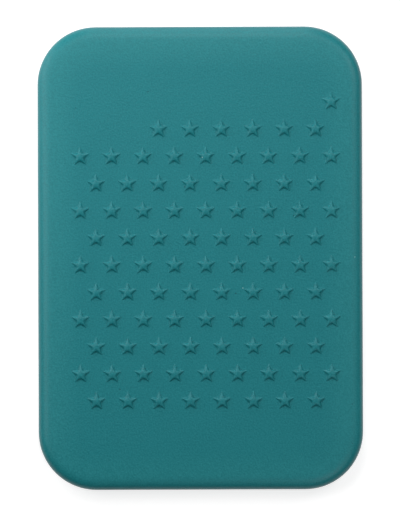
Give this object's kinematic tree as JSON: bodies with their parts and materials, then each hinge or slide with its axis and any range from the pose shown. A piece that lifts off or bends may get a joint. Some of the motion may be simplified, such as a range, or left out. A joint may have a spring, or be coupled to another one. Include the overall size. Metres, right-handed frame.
{
  "type": "pin badge board",
  "caption": "Rectangular moulded foam board with round corners and a full-round edge; pins push into its front, where low domed stars in an even lattice mark their places.",
  "frame": {"origin": "middle of the flat back face, on the surface that the board lies on", "axes": "+Z out of the front face that carries the stars, +Y towards the header end, +X to the right as the front is read"},
  "size_m": [0.213, 0.304, 0.0208],
  "materials": {
    "foam": "matte moulded closed-cell foam, teal all through, with a fine pebbled skin"
  },
  "bodies": {
    "root": {"foam_board": "foam"}
  },
  "joints": []
}
